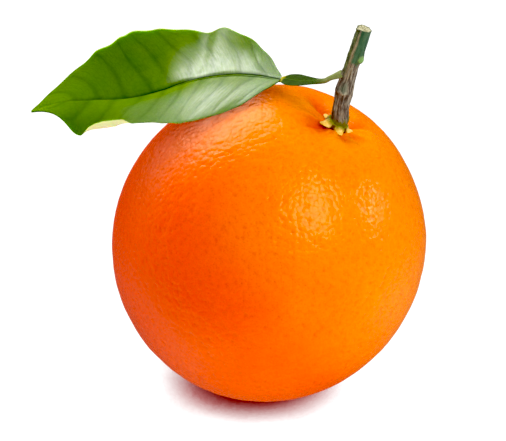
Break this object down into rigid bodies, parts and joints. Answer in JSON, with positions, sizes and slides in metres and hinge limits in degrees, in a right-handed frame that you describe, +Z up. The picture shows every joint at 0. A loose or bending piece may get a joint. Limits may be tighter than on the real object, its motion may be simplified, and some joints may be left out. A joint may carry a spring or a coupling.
{
  "type": "orange",
  "caption": "Round ripe orange resting on its base, with a star-shaped calyx, a short cut twig and a broad curved leaf on a winged stalk.",
  "frame": {"origin": "middle of the small flat on the underside of the fruit, where it rests", "axes": "+Z up, -X towards the tip of the leaf, -Y the side to which the stem end leans forward"},
  "size_m": [0.0972, 0.078, 0.0982],
  "materials": {
    "peel": "waxy pebbled orange peel with a soft sheen",
    "calyx": "dry yellow-green lobes with brown creases",
    "bark": "grey-brown streaked bark, dark green towards a pale cut end",
    "stalk": "smooth dark green, yellow at the joint",
    "leaf": "satin leathery green with sunken veins, paler below"
  },
  "bodies": {
    "root": {"fruit": "peel", "calyx": "calyx", "stem": "bark", "leaf_stalk": "stalk", "leaf_blade": "leaf"}
  },
  "joints": []
}
